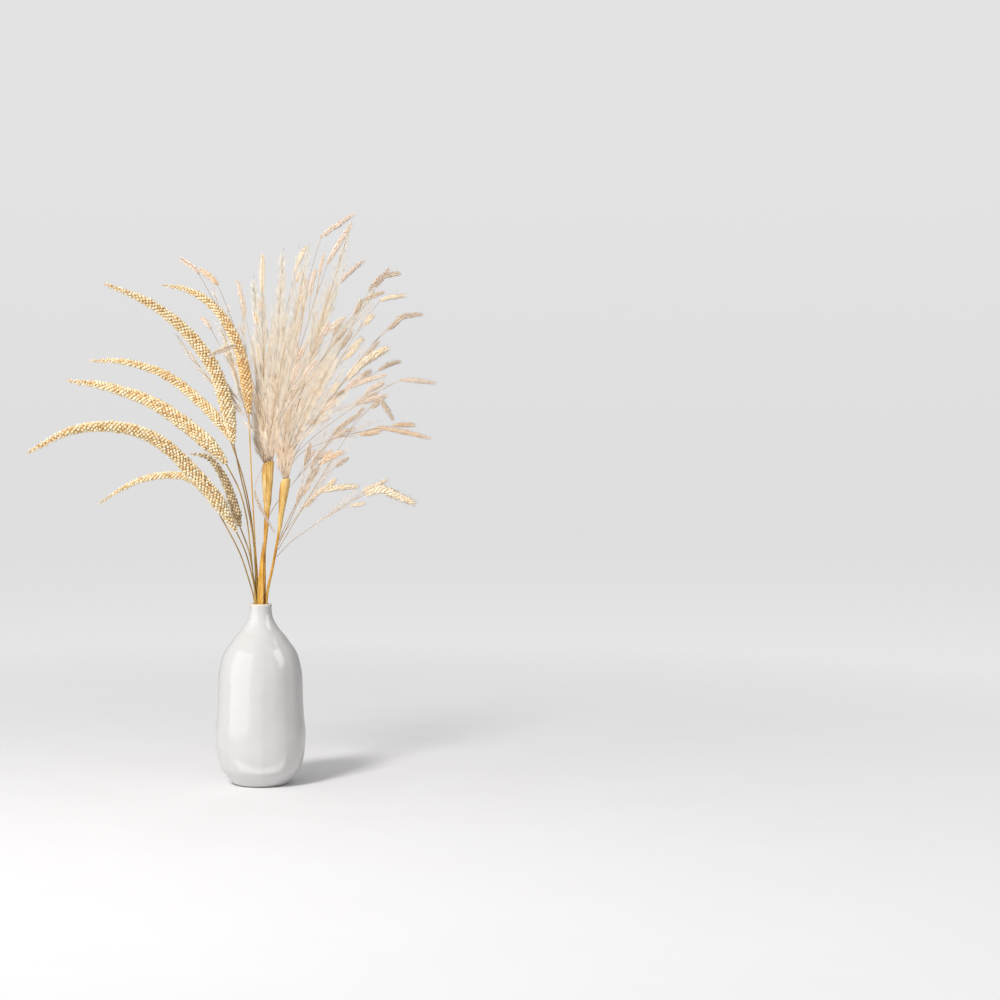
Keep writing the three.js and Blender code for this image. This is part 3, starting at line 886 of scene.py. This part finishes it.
def side_branch(spine, start, angle, spread, length, droop=0.0):
    """Line of a side branch that leaves a spine, kept within 3 mm of the CAD model's box."""
    centre, tangent, side, other, _ = (x[0] for x in spine.look(np.array([start])))
    out = side * math.cos(angle) + other * math.sin(angle)
    points = []
    for t in np.linspace(0, 1, 9):
        turn = spread * (1 - 0.3 * t)
        forward = tangent * math.cos(turn) + out * math.sin(turn)
        points.append(centre + forward * t * length - np.array([0, 0, droop * t * t]))
    points = np.clip(points, np.array(cad_low) - 3 * MM, np.array(cad_high) + 3 * MM)
    return Spine(points, np.full(9, 0.4 * MM))


def lies_flat(spine):
    """True for a wisp that would reach out to the left over the ears instead of up."""
    across = spine.points[-1] - spine.points[0]
    return across[0] < 0 and across[2] < 0.6 * np.linalg.norm(across)


def feather(soup, spine, thick, locks, hairs_each, reach, mark, fine=0.16 * MM):
    """Silky locks along a line, each a spray of hairs on a thin axis, leaning to the tip."""
    s = (np.arange(locks) + rng.random(locks)) / locks * 0.93
    angle = np.arange(locks) * GOLDEN_ANGLE + rng.normal(0, 0.3, locks)
    centre, tangent, side, other, _ = spine.look(s)
    out = side * np.cos(angle)[:, None] + other * np.sin(angle)[:, None]
    full = 0.4 + 0.6 * np.sin(np.pi * np.clip(s, 0.02, 1) ** 0.7)
    length = reach * full * rng.uniform(0.65, 1.2, locks)
    spread = thick * full / length * rng.uniform(0.3, 1.3, locks)
    lean = unit(tangent + out * spread[:, None])
    free = ~hides_brown_ear(centre + lean * (length * 0.5)[:, None])
    stamp(soup, SPIKE, centre[free], axes_along(lean, np.full(locks, fine), length)[free], mark)
    pick = np.repeat(np.arange(locks), hairs_each)
    count = len(pick)
    t = rng.uniform(0.0, 0.6, count)
    roots = centre[pick] + lean[pick] * (length[pick] * t)[:, None]
    ways = unit(lean[pick] + rng.normal(0, 0.11, (count, 3)))
    long = length[pick] * (1 - t) * rng.uniform(0.6, 1.15, count)
    ends = roots + ways * long[:, None]
    free = ~(hides_brown_ear(roots) | hides_brown_ear((roots + ends) / 2) | hides_brown_ear(ends))
    curved = rng.random(count) < 0.2
    sag = (-out[pick] * 0.12 - np.array([0, 0, 0.06])) * rng.uniform(0, 1, (count, 1))
    bent = curved & free
    hairs(soup, roots[bent], ways[bent], sag[bent], long[bent], fine, mark)
    rest = ~curved & free
    axes = axes_along(ways[rest], fine * rng.uniform(0.7, 1.2, count)[rest], long[rest])
    stamp(soup, SPIKE, roots[rest], axes, mark)


# the numbers that the materials of a sprig and of a feather have in their pieces
STALK, SEEDS = 0, 1
WHITE, CREAM, GOLD = 1, 2, 3


def droop_head(soup):
    """A short head that hangs from the middle sheath's mouth, across its culm."""
    route = [(13, -15, 474), (3, -21, 464), (-6, -22, 444), (-6, -21, 423), (8, -22, 394), (20, -17, 372)]
    line = Spine(np.array(route) * MM, np.full(len(route), 0.4 * MM))
    tube(soup, line, lambda t: 0.4 * MM * (1 - 0.5 * t), sides=6, stations=40, mark=STALK, end=0.95)
    seed_head(soup, line.part(0.4, 1), 3.6 * MM, seeds_per_mm=1.8, seed_mark=SEEDS)


def make_foxtail(node, seeds, branches):
    """A seed head on its stalk, with smaller heads and then silky wisps on side branches."""
    spine = spine_of(node, from_neck)
    start = head_start(spine)
    soup = Soup()
    stalk = spine.radii[0]
    in_head = start + 0.9 * (1 - start)
    tube(soup, spine, lambda t: stalk * (0.95 - 0.4 * t), sides=6, stations=60, mark=STALK, end=in_head)
    thick = spine.radii.max() * 1.45
    seed_head(soup, spine.part(start, 0.985), thick, seeds_per_mm=1.9, seed_mark=SEEDS)
    if node == "foxtail_left_front":
        droop_head(soup)
    for _ in range(branches):
        place = rng.uniform(0.42, 0.95) * start
        head = rng.uniform(20, 38) * MM
        pedicel = rng.uniform(12, 40) * MM
        angle = rng.uniform(0, 2 * math.pi)
        spread = rng.uniform(0.14, 0.42)
        branch = side_branch(spine, place, angle, spread, pedicel + head, droop=rng.uniform(0, 9) * MM)
        if hides_brown_ear(branch.points).any():
            continue
        share = pedicel / (pedicel + head)
        in_head = share + 0.8 * (1 - share)
        tube(soup, branch, lambda t: 0.32 * MM * (1 - 0.4 * t), sides=5, stations=16, mark=STALK, end=in_head)
        thick = rng.uniform(4.0, 6.4) * MM
        seed_head(soup, branch.part(share, 1), thick, seeds_per_mm=1.9, seed_mark=SEEDS)
    for _ in range(branches):
        place = rng.uniform(0.3, 0.8) * start
        angle = rng.uniform(0, 2 * math.pi)
        spread = rng.uniform(0.08, 0.35)
        branch = side_branch(spine, place, angle, spread, rng.uniform(45, 80) * MM)
        if not lies_flat(branch):
            feather(soup, branch, 6 * MM, locks=16, hairs_each=9, reach=24 * MM, mark=BRISTLE, fine=0.11 * MM)
    piece = soup.piece("sprig_" + node.removeprefix("foxtail_"), [straw_thin, seeds, bristle_pink])
    piece.visible_shadow = False
    finish_piece(piece, "foxtail", node)


def make_plume(node):
    """A silky plume round its stalk, up to ten long side wisps, and short low ones round its foot."""
    number = node.removeprefix("pampas_plume_")
    spine = spine_of(node, from_neck)
    start = head_start(spine)
    thick = float(spine.radii.max())
    soup = Soup()
    stalk = spine.radii[0]
    tube(soup, spine, lambda t: stalk * (1 - 0.7 * t), sides=7, stations=70, mark=STALK)
    main = (WHITE, CREAM)[int(number) % 2]
    feather(soup, spine.part(start, 1.0), thick * 1.3, locks=100, hairs_each=18, reach=42 * MM, mark=main)
    for k in range(10):
        length = rng.uniform(80, 190) * MM
        place = rng.uniform(0.06, 0.5)
        line = side_branch(spine, place, k * GOLDEN_ANGLE, rng.uniform(0.1, 0.48), length)
        if lies_flat(line):
            continue
        if not hides_brown_ear(line.points).any():
            tube(soup, line, lambda t: 0.35 * MM * (1 - 0.6 * t), sides=4, stations=12, mark=STALK)
        mark = int(rng.choice([WHITE, CREAM, GOLD], p=[0.45, 0.3, 0.25]))
        width = thick * rng.uniform(0.5, 0.9)
        feather(soup, line, width, locks=26, hairs_each=14, reach=36 * MM, mark=mark)
    # the first plume passes in front of the brown ear, so it has no low wisps
    for k in range(0 if number == "1" else 5):
        spread = rng.uniform(0.2, 0.5)
        line = side_branch(spine, 0.04, k * 1.26 + 0.5, spread, rng.uniform(35, 62) * MM)
        if not lies_flat(line):
            feather(soup, line, thick * 0.7, locks=20, hairs_each=13, reach=30 * MM, mark=CREAM)
    piece = soup.piece("feather_" + number, [straw_thin, plume_white, plume_cream, plume_gold])
    piece.visible_shadow = False
    finish_piece(piece, "plume", node)


GREY_HEADS = (
    "far_right_high", "right_front_high", "far_right_upper", "nodding", "front_right", "right_back_upper",
    "left_front", "back_high",
)
CREAM_HEADS = ("cream_right", "cream_low", "low_right", "right_back_high", "top_middle", "top_back")
ORANGE_HEADS = ("orange_right", "left_brown", "far_right_low")


def seeds_of(head):
    for heads, seeds in ((GREY_HEADS, seed_grey), (CREAM_HEADS, seed_cream), (ORANGE_HEADS, seed_orange)):
        if head in heads:
            return seeds
    return seed_pink


for ear_name, (grains, ear_slot) in EARS.items():
    make_ear(ear_name, grains, ear_slot, tuft=5.5 * MM if ear_name == "top_brown" else 0.0)
for node_name in sorted(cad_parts):
    if node_name.startswith("foxtail_"):
        seeds = seeds_of(node_name.removeprefix("foxtail_"))
        make_foxtail(node_name, seeds, branches=0 if "left" in node_name else 3)
    elif node_name.startswith("pampas_plume_"):
        make_plume(node_name)


# ------------------------------------------------------------------------------------------
# Floor, light and camera
# ------------------------------------------------------------------------------------------


def make_floor():
    """A large pale disc that fades into the background with distance."""
    bpy.ops.mesh.primitive_circle_add(vertices=128, radius=6.0, fill_type="NGON", location=(0, 0, -0.0004))
    floor = bpy.context.object
    floor.name = "studio_floor"
    s = Shader("studio_floor", 0.85, Specular_IOR_Level=0.2)
    s.paint(s.ramp(s.noise(6, 2), [(0.3, colour(237, 236, 237)), (0.7, colour(239, 239, 240))]))
    length = s.node("ShaderNodeVectorMath", operation="LENGTH")
    s.link(s.place, length.inputs[0])
    clear = s.node("ShaderNodeBsdfTransparent")
    blend = s.node("ShaderNodeMixShader")
    s.link(s.spread(length.outputs["Value"], 0.1, 2.0), blend.inputs["Fac"])
    s.link(s.principled.outputs["BSDF"], blend.inputs[1])
    s.link(clear.outputs["BSDF"], blend.inputs[2])
    s.link(blend.outputs["Shader"], s.tree.nodes["Material Output"].inputs["Surface"])
    floor.data.materials.append(s.material)


def soft_light(name, place, target, size, power, shade=(1, 1, 1), lights=True, shines=True):
    """A rectangular light; lights and shines say if it counts on dull and on glossy surfaces."""
    data = bpy.data.lights.new(name, "AREA")
    data.shape = "RECTANGLE"
    data.size, data.size_y = size
    data.energy = power
    data.color = shade
    light = bpy.data.objects.new(name, data)
    light.location = place
    light.rotation_euler = (Vector(place) - Vector(target)).to_track_quat("Z", "Y").to_euler()
    light.visible_camera = False
    light.visible_diffuse = lights
    light.visible_glossy = shines
    bpy.context.scene.collection.objects.link(light)


# how bright the backdrop looks, from below the horizon to above it: (slope of the view, strength)
BACKDROP = (
    (-0.16, 0.88), (-0.135, 0.83), (-0.11, 0.80), (-0.08, 0.757), (-0.06, 0.738), (-0.02, 0.742),
    (0.09, 0.768),
)


def make_world():
    """Seen directly it is a pale grey backdrop; as light it is a little brighter on the left."""
    world = bpy.data.worlds.new("studio")
    world.use_nodes = True
    w = Nodes(world.node_tree)
    split = w.node("ShaderNodeSeparateXYZ")
    w.link(w.node("ShaderNodeTexCoord").outputs["Generated"], split.inputs[0])
    light = w.spread(split.outputs["X"], 0.8, -0.8, 0.36, 0.60)
    lowest, highest = BACKDROP[0][0], BACKDROP[-1][0]
    stops = [((slope - lowest) / (highest - lowest), (grey, grey, grey, 1)) for slope, grey in BACKDROP]
    seen = w.ramp(w.spread(split.outputs["Z"], lowest, highest), stops)
    pick = w.node("ShaderNodeMix")
    w.link(w.node("ShaderNodeLightPath").outputs["Is Camera Ray"], pick.inputs[0])
    w.link(light, pick.inputs[2])
    w.link(seen, pick.inputs[3])
    background = w.tree.nodes["Background"]
    background.inputs["Color"].default_value = (1.0, 0.993, 0.997, 1.0)
    w.link(pick.outputs[0], background.inputs["Strength"])
    bpy.context.scene.world = world


def make_camera():
    """At the reference angle, turned so that the vase stands left of the frame's middle."""
    distance = 3.4
    rise = 0.0827
    pivot = Vector((0, 0, 0.28))
    aim = Vector((0.354, 0, 0.4167))
    data = bpy.data.cameras.new("camera")
    data.lens, data.sensor_width = 82.75, 36.0
    data.clip_end = 100
    camera = bpy.data.objects.new("camera", data)
    camera.location = pivot + Vector((0, -math.cos(rise), math.sin(rise))) * distance
    camera.rotation_euler = (aim - camera.location).to_track_quat("-Z", "Y").to_euler()
    bpy.context.scene.collection.objects.link(camera)
    bpy.context.scene.camera = camera


make_floor()
make_world()
soft_light(
    "key", place=(-1.72, -2.46, 2.82), target=(0, 0, 0.3), size=(0.8, 0.8), power=124,
    shade=(1.0, 0.99, 0.97), shines=False,
)
soft_light(
    "fill", place=(-0.35, -1.3, 0.95), target=(0, 0, 0.62), size=(0.9, 0.9), power=1.9,
    shade=(1.0, 0.985, 0.96), shines=False,
)
# cards that show only in glossy surfaces, for the reflections in the glaze
soft_light(
    "card_left", place=(-0.8, -0.40, 0.46), target=(0, 0, 0.2), size=(1.0, 1.1), power=4.9, lights=False
)
soft_light(
    "card_right", place=(0.96, -0.34, 0.86), target=(0, 0, 0.2), size=(0.62, 0.85), power=4.6, lights=False
)
soft_light(
    "card_low", place=(0, -0.084, 0.001), target=(0, -0.084, 0.2), size=(0.28, 0.03), power=0.045,
    lights=False,
)
make_camera()
bpy.context.scene.view_settings.view_transform = "Standard"
